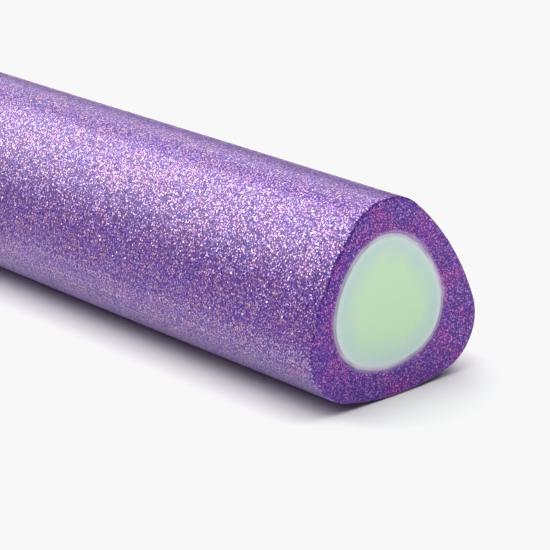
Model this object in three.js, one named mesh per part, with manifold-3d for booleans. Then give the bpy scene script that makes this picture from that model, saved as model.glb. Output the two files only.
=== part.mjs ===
// A juggling control stick, one of the pair of hand sticks that keep a flower stick or devil stick
// in the air. A solid fibreglass rod runs the whole length. A thick glitter silicone sleeve is bonded
// over it, and the stick is cut flush through all its layers at both ends. Rod and sleeve are rounded
// triangles in section, so the stick lies still on any of its three broad sides.
//
// Millimetres. +X runs along the stick and +Z is up. The origin is under the middle of the stick, on
// the surface that it lies on.

import * as THREE from "three";
import { mergeVertices } from "three/addons/utils/BufferGeometryUtils.js";
import Module from "manifold-3d";

// ---------------------------------------------------------------- driving dimensions

const STICK_LENGTH = 450;

// The fibreglass rod. Across is from a broad side to the middle of the rounded corner opposite it.
const ROD_ACROSS = 9.5;
const ROD_CORNER_RADIUS = 3.6;
const ROD_SIDE_RADIUS = 6.7;

// The film of clear silicone adhesive between the rod and the sleeve.
const BOND_THICKNESS = 0.25;

// The sleeve. Its wall is thin over the rod's sides and thick over its corners, and this is the mean.
const SLEEVE_WALL = 2.4;
const SLEEVE_CORNER_RADIUS = 4.0;
const SLEEVE_SIDE_RADIUS = 18.2;
const SLEEVE_RIM_RADIUS = 0.25;

// The rod lies off the sleeve's middle, as it does where a soft sleeve is drawn over a long rod.
const ROD_OFFSET_Y = -0.45;
const ROD_OFFSET_Z = 0.41;

// The facets of each arc. An odd number on a side leaves a flat one at its middle, and few of them
// make it wide enough to lie on without rocking.
const CORNER_FACETS = 30;
const SIDE_FACETS = 5;
const RIM_FACETS = 4;

// How far the cutter for the sleeve's bore runs out past each end.
const CUTTER_OVERRUN = 5;

const fibreglass = { color: 0xbfdcc4, roughness: 0.45, metalness: 0 };
const clearAdhesive = { color: 0xcfc9e4, roughness: 0.35, metalness: 0 };
const glitterSilicone = { color: 0x7d5aa6, roughness: 0.5, metalness: 0 };

// ---------------------------------------------------------------- sections

const rodSection = {
  across: ROD_ACROSS,
  cornerRadius: ROD_CORNER_RADIUS,
  sideRadius: ROD_SIDE_RADIUS,
};

// The bore of the sleeve is the parallel outline outside the rod's, with the bond between them.
const boreSection = {
  across: rodSection.across + 2 * BOND_THICKNESS,
  cornerRadius: rodSection.cornerRadius + BOND_THICKNESS,
  sideRadius: rodSection.sideRadius + BOND_THICKNESS,
};

const sleeveSection = {
  across: boreSection.across + 2 * SLEEVE_WALL,
  cornerRadius: SLEEVE_CORNER_RADIUS,
  sideRadius: SLEEVE_SIDE_RADIUS,
};

const CORNER_ANGLES = [90, 210, 330].map(THREE.MathUtils.degToRad);
const CORNER_TO_SIDE_ANGLE = Math.PI / 3;

// How far each corner arc's centre is from the section's middle. A side arc runs into a corner arc
// without a kink where their centres are as far apart as their radii differ.
function cornerCentreReach({ across, cornerRadius, sideRadius }) {
  const centresApart = sideRadius - cornerRadius;
  const radiiPastAcross = cornerRadius + sideRadius - across;
  return (Math.sqrt((4 * centresApart ** 2 - radiiPastAcross ** 2) / 3) - radiiPastAcross) / 2;
}

// An arc's points, without its last one, which the next arc starts with. The arc's centre is at the
// given reach from the section's middle, behind the middle where the reach is negative.
function arcPoints(centreReach, radius, middleAngle, halfAngle, facets) {
  const centreX = centreReach * Math.cos(middleAngle);
  const centreY = centreReach * Math.sin(middleAngle);
  const from = middleAngle - halfAngle;
  const to = middleAngle + halfAngle;
  const arc = new THREE.EllipseCurve(centreX, centreY, radius, radius, from, to);
  return arc.getPoints(facets).slice(0, facets);
}

// The outline of a section, anticlockwise about its middle, with one corner up and one side down.
function outlinePoints(section) {
  const { cornerRadius, sideRadius } = section;
  const centresApart = sideRadius - cornerRadius;
  const cornerReach = cornerCentreReach(section);
  const sideHalfAngle = Math.asin((cornerReach * Math.sin(CORNER_TO_SIDE_ANGLE)) / centresApart);
  const cornerHalfAngle = CORNER_TO_SIDE_ANGLE - sideHalfAngle;
  const sideReach = cornerReach / 2 - centresApart * Math.cos(sideHalfAngle);
  return CORNER_ANGLES.flatMap((cornerAngle) => {
    const sideAngle = cornerAngle + CORNER_TO_SIDE_ANGLE;
    return [
      ...arcPoints(cornerReach, cornerRadius, cornerAngle, cornerHalfAngle, CORNER_FACETS),
      ...arcPoints(sideReach, sideRadius, sideAngle, sideHalfAngle, SIDE_FACETS),
    ];
  });
}

// ---------------------------------------------------------------- solids

// A bar of the given outline, centred on z = 0, with its rims rounded and with a hole if one is given.
function barGeometry(outline, length, { rimRadius = 0, holeOutline = null } = {}) {
  const shape = new THREE.Shape(outline);
  if (holeOutline) {
    shape.holes.push(new THREE.Path(holeOutline));
  }
  const geometry = new THREE.ExtrudeGeometry(shape, {
    depth: length - 2 * rimRadius,
    bevelEnabled: rimRadius > 0,
    bevelThickness: rimRadius,
    bevelSize: rimRadius,
    bevelOffset: -rimRadius,
    bevelSegments: RIM_FACETS,
  });
  return geometry.translate(0, 0, rimRadius - length / 2);
}

const wasm = await Module();
wasm.setup();

function toSolid(geometry) {
  const positionsOnly = geometry.clone();
  positionsOnly.deleteAttribute("normal");
  positionsOnly.deleteAttribute("uv");
  const merged = mergeVertices(positionsOnly);
  const mesh = new wasm.Mesh({
    numProp: 3,
    vertProperties: new Float32Array(merged.attributes.position.array),
    triVerts: new Uint32Array(merged.index.array),
  });
  return new wasm.Manifold(mesh);
}

function toGeometry(solid) {
  const { vertProperties, triVerts } = solid.getMesh();
  const geometry = new THREE.BufferGeometry();
  geometry.setAttribute("position", new THREE.BufferAttribute(vertProperties, 3));
  geometry.setIndex(new THREE.BufferAttribute(triVerts, 1));
  geometry.computeVertexNormals();
  return geometry;
}

// ---------------------------------------------------------------- pieces

const rodOutline = outlinePoints(rodSection);
const boreOutline = outlinePoints(boreSection);
const sleeveOutline = outlinePoints(sleeveSection);

function namedMesh(name, geometry, look) {
  const mesh = new THREE.Mesh(geometry, new THREE.MeshStandardMaterial(look));
  mesh.name = name;
  return mesh;
}

function makeCoreRod() {
  return namedMesh("core_rod", barGeometry(rodOutline, STICK_LENGTH), fibreglass);
}

function makeBondLayer() {
  const geometry = barGeometry(boreOutline, STICK_LENGTH, { holeOutline: rodOutline });
  return namedMesh("bond_layer", geometry, clearAdhesive);
}

function makeGripSleeve() {
  const outside = barGeometry(sleeveOutline, STICK_LENGTH, { rimRadius: SLEEVE_RIM_RADIUS });
  outside.translate(-ROD_OFFSET_Y, -ROD_OFFSET_Z, 0);
  const cutter = barGeometry(boreOutline, STICK_LENGTH + 2 * CUTTER_OVERRUN);
  const sleeve = toSolid(outside).subtract(toSolid(cutter));
  return namedMesh("grip_sleeve", toGeometry(sleeve), glitterSilicone);
}

// ---------------------------------------------------------------- the stick, lying down

// Its pieces are made about the rod's middle, with the length along z and a corner towards +y. This
// turns x to Y, y to Z and z to X.
const lyingDown = new THREE.Matrix4().makeBasis(
  new THREE.Vector3(0, 1, 0),
  new THREE.Vector3(0, 0, 1),
  new THREE.Vector3(1, 0, 0),
);

// How far the sleeve's lowest facet is below the sleeve's middle.
const restingReach = -Math.min(...sleeveOutline.map((point) => point.y));

const stick = new THREE.Group();
stick.add(makeCoreRod(), makeBondLayer(), makeGripSleeve());
stick.quaternion.setFromRotationMatrix(lyingDown);
stick.position.set(0, ROD_OFFSET_Y, restingReach + ROD_OFFSET_Z);

export default stick;
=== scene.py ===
"""The looks of a juggling control stick: a glass-fibre rod in a thick glitter silicone sleeve.

Metres. The stick lies along X on the floor, z = 0, and the camera looks at its +X end.
"""

import math

import bpy
import numpy as np
from mathutils import Matrix, Vector, noise


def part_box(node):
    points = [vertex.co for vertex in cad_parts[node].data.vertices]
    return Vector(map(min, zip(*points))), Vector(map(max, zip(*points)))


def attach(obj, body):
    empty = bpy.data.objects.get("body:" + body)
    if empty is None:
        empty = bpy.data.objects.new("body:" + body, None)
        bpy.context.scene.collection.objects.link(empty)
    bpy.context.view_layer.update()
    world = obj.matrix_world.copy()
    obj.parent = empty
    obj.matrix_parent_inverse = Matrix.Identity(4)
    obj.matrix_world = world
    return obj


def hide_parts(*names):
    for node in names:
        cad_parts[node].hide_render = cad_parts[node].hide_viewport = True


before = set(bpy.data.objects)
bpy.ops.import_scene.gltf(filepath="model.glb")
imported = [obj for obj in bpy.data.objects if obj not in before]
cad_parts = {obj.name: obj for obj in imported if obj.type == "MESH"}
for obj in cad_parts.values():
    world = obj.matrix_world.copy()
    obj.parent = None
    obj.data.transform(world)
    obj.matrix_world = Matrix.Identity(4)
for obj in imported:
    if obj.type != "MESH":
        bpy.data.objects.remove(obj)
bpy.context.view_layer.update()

MM = 0.001

# ---------------------------------------------------------------- sizes

# Each section is a rounded triangle: its size from a broad side to the corner opposite, the radius
# of its corners and the radius of its bulging sides.
ROD = {"across": 9.5 * MM, "corner": 3.6 * MM, "side": 6.7 * MM}
SLEEVE = {"across": 14.8 * MM, "corner": 4.0 * MM, "side": 18.2 * MM}
BOND_THICKNESS = 0.25 * MM

# Small roundings where each piece is cut off at the ends.
RIM_RADIUS = 0.25 * MM
LIP_RADIUS = 0.06 * MM
ROD_CHAMFER = 0.05 * MM
BOND_SINK = 0.04 * MM

# The soft sleeve is a little wavy, and the cut faces aren't quite flat.
WAVE_DEPTH, WAVE_AROUND, WAVE_ALONG = 0.09 * MM, 9 * MM, 26 * MM
SLEEVE_CUT_DEPTH, SLEEVE_CUT_GRAIN = 0.10 * MM, 2.6 * MM
ROD_CUT_DEPTH, ROD_CUT_GRAIN = 0.05 * MM, 1.4 * MM

# How finely the meshes are divided, round the section, along the wall and over the ends.
POINTS_PER_CORNER = 48
POINTS_PER_SIDE = 32
WALL_STEPS = 150
RIM_STEPS = 5
FACE_STEPS = 16
LIP_STEPS = 3
ROD_FACE_STEPS = 24
ROD_CENTRE_SHARE = 0.02
BOND_FACE_STEPS = 4

# ---------------------------------------------------------------- sections


def corner_centre_reach(section):
    """How far each corner arc's centre is from the middle, for side arcs that meet it smoothly."""
    apart = section["side"] - section["corner"]
    past = section["corner"] + section["side"] - section["across"]
    return (math.sqrt((4 * apart**2 - past**2) / 3) - past) / 2


def outline(section):
    """The section's points and outward normals about its middle, one corner up: arrays of (y, z)."""
    apart = section["side"] - section["corner"]
    corner_reach = corner_centre_reach(section)
    side_half = math.asin(corner_reach * math.sin(math.pi / 3) / apart)
    corner_half = math.pi / 3 - side_half
    side_reach = corner_reach / 2 - apart * math.cos(side_half)
    points, normals = [], []
    for corner_angle in np.radians((90, 210, 330)):
        side_angle = corner_angle + math.pi / 3
        for middle, half, reach, radius, count in (
            (corner_angle, corner_half, corner_reach, section["corner"], POINTS_PER_CORNER),
            (side_angle, side_half, side_reach, section["side"], POINTS_PER_SIDE),
        ):
            angles = np.linspace(middle - half, middle + half, count, endpoint=False)
            outward = np.stack((np.cos(angles), np.sin(angles)), 1)
            centre = reach * np.array((math.cos(middle), math.sin(middle)))
            points.append(centre + radius * outward)
            normals.append(outward)
    return np.concatenate(points), np.concatenate(normals)


def section_middle(node, section):
    """The (y, z) of a node's section middle, from its box: the lowest side and the width."""
    low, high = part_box(node)
    reach = section["across"] - corner_centre_reach(section) - section["corner"]
    return np.array(((low.y + high.y) / 2, low.z + reach))


END_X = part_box("grip_sleeve")[1].x
sleeve_middle = section_middle("grip_sleeve", SLEEVE)
rod_middle = section_middle("core_rod", ROD)

rod_points, rod_outward = outline(ROD)
rod_points = rod_points + rod_middle
bore_points = rod_points + BOND_THICKNESS * rod_outward
sleeve_points, sleeve_outward = outline(SLEEVE)
sleeve_points = sleeve_points + sleeve_middle
COUNT = len(rod_points)


def hollow(place, grain):
    """How deep the smooth hollows are at a place, from 0 to 1."""
    return 0.5 + 0.5 * noise.noise(Vector([p / g for p, g in zip(place, grain)]))


def ring(points, x):
    """A section's points as a ring across the stick at x."""
    return np.column_stack((np.full(len(points), x), points))


def wavy(points, outward, x):
    """The sleeve's outline at x, a little in or out where the wall is wavy, and above the floor."""
    grain = (WAVE_ALONG, WAVE_AROUND, WAVE_AROUND)
    depth = [WAVE_DEPTH * (hollow((x, *point), grain) - 0.5) for point in points]
    moved = points - outward * np.array(depth)[:, None]
    return np.maximum(moved, (-np.inf, 0))


def cut(rings, weights, depth, grain):
    """Sinks rings of the +X end where its cut isn't flat, each by its own weight."""
    for ring_points, weight in zip(rings, weights):
        for point in ring_points:
            point[0] -= weight * depth * hollow((0, point[1], point[2]), (1, grain, grain))
    return rings


def other_end(rings):
    """The same rings at the -X end, in the opposite order."""
    return [points * (-1, 1, 1) for points in reversed(rings)]


# ---------------------------------------------------------------- meshes

# Each mesh is a stack of bands between neighbouring rings. The flat layout of the bands is the map
# that the looks are baked on. The outer wall is laid out in strips, to be as large as it can.

FLAT_NAME = "OFBake"
FLAT_GAP = 0.8 * MM
WALL_STRIPS = 3
PLACES_AT_ONCE = 2000


def lengths_round(points):
    """How far round each point is, with the whole way round as the last."""
    apart = np.linalg.norm(np.roll(points, -1, axis=0) - points, axis=1)
    return np.concatenate(([0], np.cumsum(apart)))


def face_flat(ring_points, corner):
    """An end face's ring, laid flat as it is seen from outside, from a corner of the layout."""
    side = 1 if ring_points[0, 0] > 0 else -1
    y = side * np.append(ring_points[:, 1], ring_points[0, 1])
    z = np.append(ring_points[:, 2], ring_points[0, 2])
    return np.column_stack((y, z)) + corner


def wall_flat(along, around, corner):
    """A wall's ring, laid flat as a straight line, from a corner of the layout."""
    return np.column_stack((np.full(len(around), along), around)) + corner


def distance_from_rod(places):
    """How far each place is from the rod's outline, in millimetres."""
    return np.concatenate([
        np.linalg.norm(part[:, None, 1:] - rod_points[None], axis=2).min(1)
        for part in np.array_split(places, math.ceil(len(places) / PLACES_AT_ONCE))
    ]) / MM


def face_bands(rings, first, last, corner):
    """The bands between one end's rings, with the face laid flat from a corner."""
    flats = [face_flat(rings[number], corner) for number in range(first, last + 1)]
    return [(first + i, first + i + 1, flats[i], flats[i + 1]) for i in range(last - first)]


def skin(name, rings, bands, sheet, caps=()):
    """A mesh of bands, each two ring numbers and the two rings laid flat, on a square sheet."""
    faces, flats = [], []
    for here, there, flat_here, flat_there in bands:
        for i in range(COUNT):
            j = (i + 1) % COUNT
            a, b = here * COUNT, there * COUNT
            faces.append((a + i, a + j, b + j, b + i))
            flats += [flat_here[i], flat_here[i + 1], flat_there[i + 1], flat_there[i]]
    for number, flat, turned in caps:
        order = range(COUNT)[::-1] if turned else range(COUNT)
        faces.append(tuple(number * COUNT + i for i in order))
        flats += [flat[i] for i in order]
    places = np.concatenate(rings)
    mesh = bpy.data.meshes.new(name)
    mesh.from_pydata(places.tolist(), [], faces)
    layer = mesh.uv_layers.new(name=FLAT_NAME)
    layer.uv.foreach_set("vector", (np.array(flats) / sheet).astype(np.float32).ravel())
    depth = mesh.attributes.new("core_distance", "FLOAT", "POINT")
    depth.data.foreach_set("value", distance_from_rod(places).astype(np.float32))
    mesh.update()
    mesh.shade_smooth()
    piece = bpy.data.objects.new(name, mesh)
    bpy.context.scene.collection.objects.link(piece)
    return piece


def sleeve_end():
    """The +X end's rings, from the outer wall round the rim, over the cut face and into the bore."""
    wall = wavy(sleeve_points, sleeve_outward, END_X - RIM_RADIUS)
    rings, weights = [], []
    for step in range(RIM_STEPS + 1):
        turn = step / RIM_STEPS * math.pi / 2
        inset = wall - sleeve_outward * RIM_RADIUS * (1 - math.cos(turn))
        rings.append(ring(inset, END_X - RIM_RADIUS * (1 - math.sin(turn))))
        weights.append(math.sin(turn))
    edge = rings[-1][:, 1:]
    lip = bore_points + rod_outward * LIP_RADIUS
    for step in range(1, FACE_STEPS + 1):
        share = step / FACE_STEPS
        rings.append(ring(edge * (1 - share) + lip * share, END_X))
        weights.append(1)
    for step in range(1, LIP_STEPS + 1):
        turn = step / LIP_STEPS * math.pi / 2
        grown = bore_points + rod_outward * LIP_RADIUS * (1 - math.sin(turn))
        rings.append(ring(grown, END_X - LIP_RADIUS * (1 - math.cos(turn))))
        weights.append(1)
    return cut(rings, weights, SLEEVE_CUT_DEPTH, SLEEVE_CUT_GRAIN)


def sleeve_wall():
    """The outer wall's rings from -X to +X, without the two rims."""
    places = np.linspace(-END_X + RIM_RADIUS, END_X - RIM_RADIUS, WALL_STEPS + 1)[1:-1]
    return [ring(wavy(sleeve_points, sleeve_outward, x), x) for x in places]


def make_sleeve():
    wall, end = sleeve_wall(), sleeve_end()
    rings = wall + end + other_end(end)
    last = len(rings) - 1
    first_end, last_end = len(wall), len(wall) + len(end)

    around = lengths_round(sleeve_points)
    face_low = sleeve_points.min(0) - FLAT_GAP
    face_size = np.ptp(sleeve_points, axis=0) + 2 * FLAT_GAP
    row_height = around[-1] + FLAT_GAP
    sheet = face_size[1] + WALL_STRIPS * row_height

    def wall_band(here, there, step, along_here, along_there):
        strip = step // (WALL_STEPS // WALL_STRIPS)
        start = -END_X + strip * 2 * END_X / WALL_STRIPS
        corner = (FLAT_GAP - start, face_size[1] + strip * row_height)
        down = around[-1] - around
        return (here, there, *(wall_flat(x, down, corner) for x in (along_here, along_there)))

    bands = []
    # the wall's rings in order, from the -X end's rim, which is the last ring of all
    order = [last, *range(first_end), first_end]
    for step, (here, there) in enumerate(zip(order, order[1:])):
        bands.append(wall_band(here, there, step, rings[here][0, 0], rings[there][0, 0]))
    for turn in range(RIM_STEPS):
        near, far = (RIM_RADIUS * (t / RIM_STEPS * math.pi / 2 - 1) for t in (turn, turn + 1))
        here = first_end + turn
        bands.append(wall_band(here, here + 1, WALL_STEPS - 1, END_X + near, END_X + far))
        here = last - 1 - turn
        bands.append(wall_band(here, here + 1, 0, -END_X - far, -END_X - near))
    beside = (face_size[0] + FLAT_GAP - sleeve_points[:, 0].min(), -face_low[1])
    bands += face_bands(rings, first_end + RIM_STEPS, last_end - 1, -face_low)
    bands += face_bands(rings, last_end, last - RIM_STEPS, beside)
    # the bore's hidden wall is laid out small, beside the end faces
    bore_low = (2 * face_size[0] + FLAT_GAP, FLAT_GAP)
    bore_size = (sheet - bore_low[0] - FLAT_GAP, face_size[1] - 2 * FLAT_GAP)
    height = around / around[-1] * bore_size[1]
    flats = [wall_flat(x, height, bore_low) for x in (bore_size[0], 0)]
    bands.append((last_end - 1, last_end, *flats))
    return skin("glitter_sleeve", rings, bands, sheet)


def inner_sheet():
    """The layout of the rod and of the film round it: both end faces, and the hidden wall."""
    width, height = np.ptp(bore_points, axis=0) + 2 * FLAT_GAP
    low = bore_points.min(0) - FLAT_GAP
    corners = (-low, (width + FLAT_GAP + bore_points[:, 0].max(), -low[1]))
    return 2 * width, height, corners


def make_rod():
    end = [ring(rod_points, END_X - ROD_CHAMFER)]
    edge = rod_points - rod_outward * ROD_CHAMFER
    for share in np.linspace(1, ROD_CENTRE_SHARE, ROD_FACE_STEPS):
        end.append(ring((edge - rod_middle) * share + rod_middle, END_X))
    end = cut(end, [0] + [1] * ROD_FACE_STEPS, ROD_CUT_DEPTH, ROD_CUT_GRAIN)
    rings = end + other_end(end)
    sheet, face_height, corners = inner_sheet()
    around = lengths_round(rod_points)
    wall_size = (sheet - 2 * FLAT_GAP, sheet - face_height - FLAT_GAP)
    down = (1 - around / around[-1]) * wall_size[1]
    middle, other, last = len(end) - 1, len(end), len(rings) - 1
    bands = face_bands(rings, 0, middle, corners[0]) + face_bands(rings, other, last, corners[1])
    flats = [wall_flat(along, down, (FLAT_GAP, face_height)) for along in (0, wall_size[0])]
    bands.append((last, 0, *flats))
    caps = [
        (middle, face_flat(rings[middle], corners[0]), False),
        (other, face_flat(rings[other], corners[1]), True),
    ]
    return skin("fibreglass_rod", rings, bands, sheet, caps)


def make_bond():
    end = []
    for step in range(BOND_FACE_STEPS + 1):
        share = step / BOND_FACE_STEPS
        sink = LIP_RADIUS + BOND_SINK * math.sin(math.pi * share)
        end.append(ring(bore_points * (1 - share) + rod_points * share, END_X - sink))
    rings = end + other_end(end)
    sheet, face_height, corners = inner_sheet()
    around = lengths_round(rod_points)
    wall_size = (sheet - 2 * FLAT_GAP, (sheet - face_height) / 2 - FLAT_GAP)
    up = around / around[-1] * wall_size[1]
    inner, other, last = len(end) - 1, len(end), len(rings) - 1
    bands = face_bands(rings, 0, inner, corners[0]) + face_bands(rings, other, last, corners[1])
    low = (FLAT_GAP, face_height)
    flats = [wall_flat(along, up[::-1], low) for along in (0, wall_size[0])]
    bands.append((last, 0, *flats))
    low = (FLAT_GAP, face_height + wall_size[1] + FLAT_GAP)
    flats = [wall_flat(along, up, low) for along in (wall_size[0], 0)]
    bands.append((inner, other, *flats))
    return skin("adhesive_film", rings, bands, sheet)


# ---------------------------------------------------------------- materials


class Tree:
    """Adds nodes to a material and wires them up."""

    def __init__(self, name):
        self.material = bpy.data.materials.new(name)
        self.material.use_nodes = True
        self.nodes = self.material.node_tree.nodes
        self.links = self.material.node_tree.links
        self.shader = self.nodes["Principled BSDF"]

    def add(self, kind, inputs=(), **settings):
        node = self.nodes.new(kind)
        for key, value in settings.items():
            setattr(node, key, value)
        for key, value in dict(inputs).items():
            self.put(node.inputs[key], value)
        return node

    def put(self, socket, value):
        if isinstance(value, bpy.types.NodeSocket):
            self.links.new(value, socket)
        else:
            socket.default_value = value

    def set(self, **values):
        """Puts values into the shader's own sockets, named with _ for each space."""
        for name, value in values.items():
            self.put(self.shader.inputs[name.replace("_", " ")], value)

    def math(self, operation, *values):
        return self.add("ShaderNodeMath", dict(enumerate(values)), operation=operation).outputs[0]

    def vector(self, operation, *values, scale=None):
        node = self.add("ShaderNodeVectorMath", dict(enumerate(values)), operation=operation)
        if scale is not None:
            self.put(node.inputs["Scale"], scale)
        return node.outputs["Vector"]

    def blend(self, how, share, a, b):
        node = self.add("ShaderNodeMix", data_type="RGBA", blend_type=how)
        for key, value in ((0, share), (6, a), (7, b)):
            self.put(node.inputs[key], value)
        return node.outputs[2]

    def mix(self, share, a, b):
        return self.blend("MIX", share, a, b)

    def ramp(self, value, low, high, out_low=0.0, out_high=1.0):
        """A smooth step from one value to another, held beyond both."""
        limits = {"From Min": low, "From Max": high, "To Min": out_low, "To Max": out_high}
        node = self.add("ShaderNodeMapRange", {"Value": value, **limits})
        node.interpolation_type = "SMOOTHSTEP"
        return node.outputs["Result"]

    def noise(self, place, size, detail=2.0):
        inputs = {"Vector": place, "Scale": 1 / size, "Detail": detail}
        return self.add("ShaderNodeTexNoise", inputs).outputs["Fac"]

    def noise_colour(self, place, size):
        """Three noises at once, as a colour."""
        return self.add("ShaderNodeTexNoise", {"Vector": place, "Scale": 1 / size}).outputs["Color"]

    def split(self, colour):
        return self.add("ShaderNodeSeparateColor", {"Color": colour}).outputs

    def place(self):
        return self.add("ShaderNodeTexCoord").outputs["Object"]

    def end_facing(self):
        """How much the surface faces along the stick, from -1 to 1."""
        normal = self.add("ShaderNodeTexCoord").outputs["Normal"]
        return self.add("ShaderNodeSeparateXYZ", {"Vector": normal}).outputs["X"]

    def core_distance(self):
        return self.add("ShaderNodeAttribute", attribute_name="core_distance").outputs["Fac"]

    def glue_share(self, place):
        """How much of the clear glue shows there: it lies in patches round the rod."""
        return self.ramp(self.noise(place, GLUE_PATCH, 1.0), *PATCH_EDGES, GLUE_LEAST, 1.0)

    def bump(self, height, strength):
        inputs = {"Height": height, "Strength": strength, "Distance": BUMP_DEPTH}
        return self.add("ShaderNodeBump", inputs).outputs["Normal"]


# The values that a noise mostly has, and those between which it turns from patch to patch.
NOISE_RANGE = (0.3, 0.7)
PATCH_EDGES = (0.40, 0.60)
# How deep a bump of full strength is.
BUMP_DEPTH = 0.03 * MM

# The glue shows this much where there is least of it, in patches of this size.
GLUE_PATCH, GLUE_LEAST = 3.2 * MM, 0.25

# The small flakes, and the rare brighter ones. A flake fades out from CORE to EDGE, in its own size.
FLAKE_SIZE = 0.13 * MM
FLAKE_EDGE, FLAKE_CORE = 0.58, 0.36
FLAKE_TILT = 0.38
FLAKE_METAL = 0.9
FLAKE_SMOOTH, FLAKE_ROUGH = 0.28, 0.46
SPARK_SIZE = 0.20 * MM
SPARK_EDGE, SPARK_CORE = 0.42, 0.30
SPARK_TILT = 0.6
SPARK_RARITY = 0.96
# how far the flakes are moved out of even rows, and over what length that changes
STRAY, STRAY_SIZE = 0.08 * MM, 0.5 * MM

GAP_COLOUR = (0.075, 0.010, 0.265, 1)
FLAKE_VIOLET = (0.235, 0.086, 0.415, 1)
FLAKE_PINK = (0.640, 0.430, 0.520, 1)
SPARK_COLOUR = (0.720, 0.530, 0.720, 1)
TINT_PATCH, TINT_EDGES = 1.6 * MM, (0.35, 0.65)
BLUISH_TINT = (0.93, 0.98, 1.06, 1)
PINKISH_TINT = (1.07, 0.96, 0.97, 1)

# The cut faces are darker and less metallic. A face counts as cut as it turns to face the end.
CUT_FACING = (0.6, 0.95)
CUT_TINT_PATCH = 2.2 * MM
CUT_BLUISH_TINT = (0.72, 0.43, 0.95, 1)
CUT_PINKISH_TINT = (0.97, 0.39, 0.95, 1)
CUT_METAL = 0.7

# Painted light: a pale glow painted next to the rod, for light leaking through the silicone; it
# fades between NEAR and FAR, in millimetres.
PAINTED_GLOW_COLOUR = (0.560, 0.450, 0.700, 1)
LEAK_FAR, LEAK_NEAR, LEAK_MOST = 0.8, 0.4, 0.7
LEAK_PATCH, LEAK_VARIES = 2.5 * MM, 0.5


def flake_layer(tree, place, size, edge, core):
    """A layer of flakes: three random numbers for each, as a colour, and how much of it is there."""
    cells = tree.add("ShaderNodeTexVoronoi", {"Vector": place, "Scale": 1 / size})
    return cells.outputs["Color"], tree.ramp(cells.outputs["Distance"], edge, core)


def glitter_colour(tree, place, picks, is_flake, is_spark):
    """Violet to pink flakes in deep violet, drifting between a bluish and a pinkish tint."""
    shade = tree.ramp(picks["Green"], 0.1, 1.0)
    colour = tree.mix(is_flake, GAP_COLOUR, tree.mix(shade, FLAKE_VIOLET, FLAKE_PINK))
    colour = tree.mix(is_spark, colour, SPARK_COLOUR)
    drift = tree.ramp(tree.noise(place, TINT_PATCH), *TINT_EDGES)
    return tree.blend("MULTIPLY", 1.0, colour, tree.mix(drift, BLUISH_TINT, PINKISH_TINT))


def cut_colour(tree, place, colour, facing_end):
    """The glitter's colour, changed on the cut faces, with a painted glow next to the rod for light
    leaking through the silicone.
    """
    drift = tree.ramp(tree.noise(place, CUT_TINT_PATCH, 1.0), *PATCH_EDGES)
    tint = tree.mix(drift, CUT_BLUISH_TINT, CUT_PINKISH_TINT)
    colour = tree.blend("MULTIPLY", tree.ramp(facing_end, *CUT_FACING), colour, tint)
    # painted light: a pale glow for light leaking through the silicone, uneven and in patches with
    # the glue
    uneven = tree.math("MULTIPLY", tree.noise(place, LEAK_PATCH), LEAK_VARIES)
    leak = tree.math("ADD", tree.core_distance(), uneven)
    leak_share = tree.ramp(leak, LEAK_FAR, LEAK_NEAR, 0.0, LEAK_MOST)
    painted_glow_share = tree.math("MULTIPLY", leak_share, tree.glue_share(place))
    return tree.mix(painted_glow_share, colour, PAINTED_GLOW_COLOUR)


def flake_normal(tree, flake, spark, is_spark):
    """The surface's normal, tilted at random on each flake."""
    flake_tilt = tree.vector("SUBTRACT", flake, (0.5, 0.5, 0.5))
    spark_tilt = tree.vector("SUBTRACT", spark, (SPARK_RARITY, 0.5, 0.5))
    tilt = tree.add("ShaderNodeMix", data_type="VECTOR")
    tree.put(tilt.inputs[0], is_spark)
    tree.put(tilt.inputs[4], tree.vector("SCALE", flake_tilt, scale=FLAKE_TILT))
    tree.put(tilt.inputs[5], tree.vector("SCALE", spark_tilt, scale=SPARK_TILT))
    normal = tree.add("ShaderNodeNewGeometry").outputs["Normal"]
    return tree.vector("NORMALIZE", tree.vector("ADD", normal, tilt.outputs[1]))


def glitter_silicone():
    """Clear violet silicone full of small glitter flakes, each turned its own way."""
    tree = Tree("glitter_silicone")
    place = tree.place()
    stray = tree.vector("SCALE", tree.noise_colour(place, STRAY_SIZE), scale=STRAY)
    moved = tree.vector("ADD", place, stray)
    flake, is_flake = flake_layer(tree, moved, FLAKE_SIZE, FLAKE_EDGE, FLAKE_CORE)
    spark, spark_share = flake_layer(tree, moved, SPARK_SIZE, SPARK_EDGE, SPARK_CORE)
    is_rare = tree.math("GREATER_THAN", tree.split(spark)["Red"], SPARK_RARITY)
    is_spark = tree.math("MULTIPLY", spark_share, is_rare)
    picks = tree.split(flake)
    facing_end = tree.math("ABSOLUTE", tree.end_facing())

    colour = glitter_colour(tree, place, picks, is_flake, is_spark)
    tree.set(Base_Color=cut_colour(tree, place, colour, facing_end))
    metal = tree.math("MAXIMUM", tree.math("MULTIPLY", is_flake, FLAKE_METAL), is_spark)
    kept_metal = tree.ramp(facing_end, *CUT_FACING, 1.0, CUT_METAL)
    tree.set(Metallic=tree.math("MULTIPLY", metal, kept_metal))
    tree.set(Roughness=tree.ramp(picks["Blue"], 0.0, 1.0, FLAKE_SMOOTH, FLAKE_ROUGH))
    tree.set(Normal=flake_normal(tree, flake, spark, is_spark))
    tree.set(Coat_Weight=0.62, Coat_Roughness=0.34, Coat_IOR=1.41, Specular_IOR_Level=0.2)
    return tree.material


ROD_MIDDLE_COLOUR = (0.65, 0.91, 0.61, 1)
ROD_OUTER_COLOUR = (0.59, 0.80, 0.74, 1)
ROD_RIM_COLOUR = (0.71, 0.82, 0.83, 1)
FIBRE_COLOUR = (0.85, 0.95, 0.85, 1)
FIBRE_SHOWS = 0.10
FIBRE_SIZE = 0.09 * MM
ROD_BUMP = 0.25
# the saw's marks are this fine, and run across the stick
SAW_GRAIN, SAW_STRETCH = 0.22 * MM, (1, 0.15, 1)
BLOTCH_SIZE, BLOTCH_DEPTH = 1.5 * MM, 1.6
FIBRE_EDGE, FIBRE_CORE = 0.6, 0.2
ROD_SMOOTH, ROD_ROUGH = 0.38, 0.55
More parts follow.
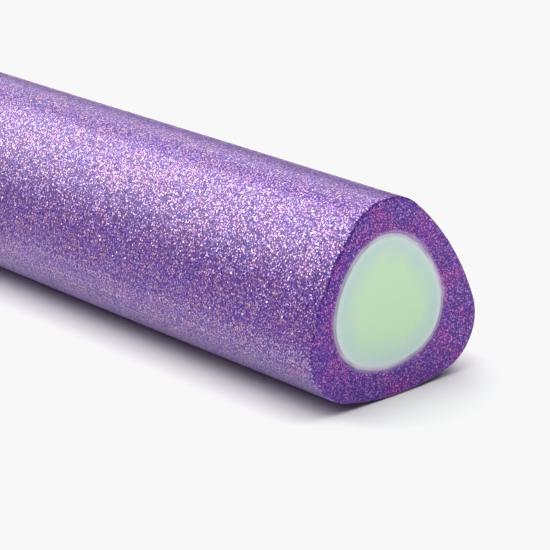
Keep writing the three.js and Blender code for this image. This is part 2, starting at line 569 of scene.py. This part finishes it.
# millimetres in from the outline: where the rim's colour ends, and the outer colour starts and ends
RIM_ENDS = 0.55
OUTER_FROM, OUTER_TO = 0.3, 2.3


def rod_colour(tree, place):
    """Green in the middle and bluer outwards, with an uneven border, and palest at the rim."""
    inwards = tree.core_distance()
    uneven = tree.noise(place, BLOTCH_SIZE)
    blotch = tree.math("MULTIPLY_ADD", uneven, BLOTCH_DEPTH, -BLOTCH_DEPTH / 2)
    depth = tree.ramp(tree.math("ADD", inwards, blotch), OUTER_FROM, OUTER_TO)
    colour = tree.mix(depth, ROD_OUTER_COLOUR, ROD_MIDDLE_COLOUR)
    return tree.mix(tree.ramp(inwards, 0.0, RIM_ENDS), ROD_RIM_COLOUR, colour)


def fibreglass():
    """The sawn end of a glass-fibre rod: milky green resin with fibre ends like fine dots."""
    tree = Tree("fibreglass")
    place = tree.place()
    fibres = tree.add("ShaderNodeTexVoronoi", {"Vector": place, "Scale": 1 / FIBRE_SIZE})
    dots = tree.ramp(fibres.outputs["Distance"], FIBRE_CORE, FIBRE_EDGE, 1.0, 0.0)
    dots_show = tree.math("MULTIPLY", dots, FIBRE_SHOWS)
    tree.set(Base_Color=tree.mix(dots_show, rod_colour(tree, place), FIBRE_COLOUR))
    saw = tree.noise(tree.vector("MULTIPLY", place, SAW_STRETCH), SAW_GRAIN, 3.0)
    height = tree.math("MULTIPLY_ADD", saw, 0.7, tree.math("MULTIPLY", dots, 0.3))
    tree.set(Normal=tree.bump(height, ROD_BUMP))
    tree.set(Roughness=tree.ramp(saw, *NOISE_RANGE, ROD_SMOOTH, ROD_ROUGH))
    return tree.material


FILM_PALE = (0.74, 0.72, 0.84, 1)
FILM_VIOLET = (0.52, 0.42, 0.68, 1)
FILM_THIN = (0.36, 0.30, 0.46, 1)
# millimetres from the rod: between these the film turns violet, give or take half of VARIES
FILM_FROM, FILM_TO = 0.02, 0.27
FILM_GRAIN, FILM_VARIES = 0.8 * MM, 0.16
FILM_RIPPLE, FILM_BUMP = 0.3 * MM, 0.3
FILM_SMOOTH, FILM_ROUGH = 0.3, 0.5


def adhesive():
    """A thin film of clear adhesive: pale next to the rod, tinted by the sleeve further out."""
    tree = Tree("adhesive")
    place = tree.place()
    grain = tree.noise(place, FILM_GRAIN)
    uneven = tree.math("MULTIPLY_ADD", grain, FILM_VARIES, -FILM_VARIES / 2)
    out = tree.math("ADD", tree.core_distance(), uneven)
    colour = tree.mix(tree.ramp(out, FILM_FROM, FILM_TO), FILM_PALE, FILM_VIOLET)
    tree.set(Base_Color=tree.mix(tree.glue_share(place), FILM_THIN, colour))
    ripple = tree.noise(place, FILM_RIPPLE)
    tree.set(Normal=tree.bump(ripple, FILM_BUMP))
    tree.set(Roughness=tree.ramp(ripple, *NOISE_RANGE, FILM_SMOOTH, FILM_ROUGH))
    return tree.material


# ---------------------------------------------------------------- the pieces

for piece, node, slot, material in (
    (make_sleeve(), "grip_sleeve", "glitter_silicone", glitter_silicone()),
    (make_rod(), "core_rod", "fibreglass", fibreglass()),
    (make_bond(), "bond_layer", "clear_adhesive", adhesive()),
):
    piece.data.materials.append(material)
    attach(piece, "root")
    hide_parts(node)

# ---------------------------------------------------------------- floor, light and camera

FLOOR_SIZE = 12.0
# The sky glows round a point overhead, and the backdrop behind everything is plain white.
GLOW_TOWARDS = (-0.03, 0.10, 0.99)
GLOW_EDGE, GLOW_FULL = 0.62, 0.90
GLOW_DIM, GLOW_BRIGHT = 0.08, 2.8
BACKDROP_GLOW = 1.0
BACKDROP_WHITE = 0.939
FLOOR_WHITE = (0.87, 0.87, 0.87, 1)

# Each softbox: the way to it from the end of the stick, its width and its power in watts.
SOFTBOX_DISTANCE = 6.0
KEY = ((-0.763, -0.352, 0.52), 3.4, 172)
BACK = ((-0.763, 0.36, 0.53), 3.9, 54)


def cap_white():
    """Shows anything brighter than white as the pale grey of the backdrop."""
    settings = bpy.context.scene.view_settings
    settings.view_transform = "Standard"
    settings.use_curve_mapping = True
    curves = settings.curve_mapping
    curves.extend = "HORIZONTAL"
    curves.curves[3].points[-1].location = (1.0, BACKDROP_WHITE)
    curves.update()


def white_floor():
    tree = Tree("white_floor")
    tree.set(Base_Color=FLOOR_WHITE, Roughness=0.9, Specular_IOR_Level=0.0)
    return tree.material


def make_floor():
    half = FLOOR_SIZE / 2
    corners = [(-half, -half, 0), (half, -half, 0), (half, half, 0), (-half, half, 0)]
    mesh = bpy.data.meshes.new("floor")
    mesh.from_pydata(corners, [], [(0, 1, 2, 3)])
    mesh.materials.append(white_floor())
    floor = bpy.data.objects.new("floor", mesh)
    bpy.context.scene.collection.objects.link(floor)


def make_world():
    """A soft white glow overhead that fades to the sides, behind a plain white backdrop."""
    world = bpy.data.worlds.new("studio")
    world.use_nodes = True
    nodes, links = world.node_tree.nodes, world.node_tree.links
    facing = nodes.new("ShaderNodeVectorMath")
    facing.operation = "DOT_PRODUCT"
    links.new(nodes.new("ShaderNodeTexCoord").outputs["Generated"], facing.inputs[0])
    facing.inputs[1].default_value = Vector(GLOW_TOWARDS).normalized()
    glow = nodes.new("ShaderNodeMapRange")
    links.new(facing.outputs["Value"], glow.inputs["Value"])
    for name, value in (
        ("From Min", GLOW_EDGE),
        ("From Max", GLOW_FULL),
        ("To Min", GLOW_DIM),
        ("To Max", GLOW_BRIGHT),
    ):
        glow.inputs[name].default_value = value
    seen = nodes.new("ShaderNodeMix")
    links.new(nodes.new("ShaderNodeLightPath").outputs["Is Camera Ray"], seen.inputs[0])
    links.new(glow.outputs["Result"], seen.inputs[2])
    seen.inputs[3].default_value = BACKDROP_GLOW
    background = nodes["Background"]
    background.inputs["Color"].default_value = (1, 1, 1, 1)
    links.new(seen.outputs[0], background.inputs["Strength"])
    bpy.context.scene.world = world


def aim_at(thing, target, roll=0.0):
    """Turns a light or the camera to look at a point."""
    towards = (target - thing.location).to_track_quat("-Z", "Y")
    thing.rotation_mode = "QUATERNION"
    thing.rotation_quaternion = towards @ Matrix.Rotation(roll, 3, "Z").to_quaternion()


def make_softbox(name, towards, size, power):
    data = bpy.data.lights.new(name, "AREA")
    data.shape = "DISK"
    data.size = size
    data.energy = power
    light = bpy.data.objects.new(name, data)
    bpy.context.scene.collection.objects.link(light)
    target = Vector((END_X, 0, 0))
    light.location = target + Vector(towards).normalized() * SOFTBOX_DISTANCE
    light.visible_camera = False
    aim_at(light, target)


VIEW_AZIMUTH = math.radians(-36.16)
VIEW_ELEVATION = math.radians(19.09)
VIEW_ROLL = math.radians(-4.23)
VIEW_DISTANCE = 209.1 * MM
VIEW_LENS = 183.6
AIM_BEFORE_END = 13.95 * MM
AIM_BELOW_MIDDLE = 0.75 * MM


def make_camera():
    data = bpy.data.cameras.new("camera")
    data.lens = VIEW_LENS
    data.clip_start = 0.01
    data.clip_end = 50
    camera = bpy.data.objects.new("camera", data)
    bpy.context.scene.collection.objects.link(camera)
    target = Vector((END_X - AIM_BEFORE_END, 0, sleeve_middle[1] - AIM_BELOW_MIDDLE))
    level = math.cos(VIEW_ELEVATION)
    x, y = level * math.cos(VIEW_AZIMUTH), level * math.sin(VIEW_AZIMUTH)
    camera.location = target + Vector((x, y, math.sin(VIEW_ELEVATION))) * VIEW_DISTANCE
    aim_at(camera, target, VIEW_ROLL)
    bpy.context.scene.camera = camera


make_floor()
make_world()
make_softbox("key", *KEY)
make_softbox("back", *BACK)
make_camera()
cap_white()
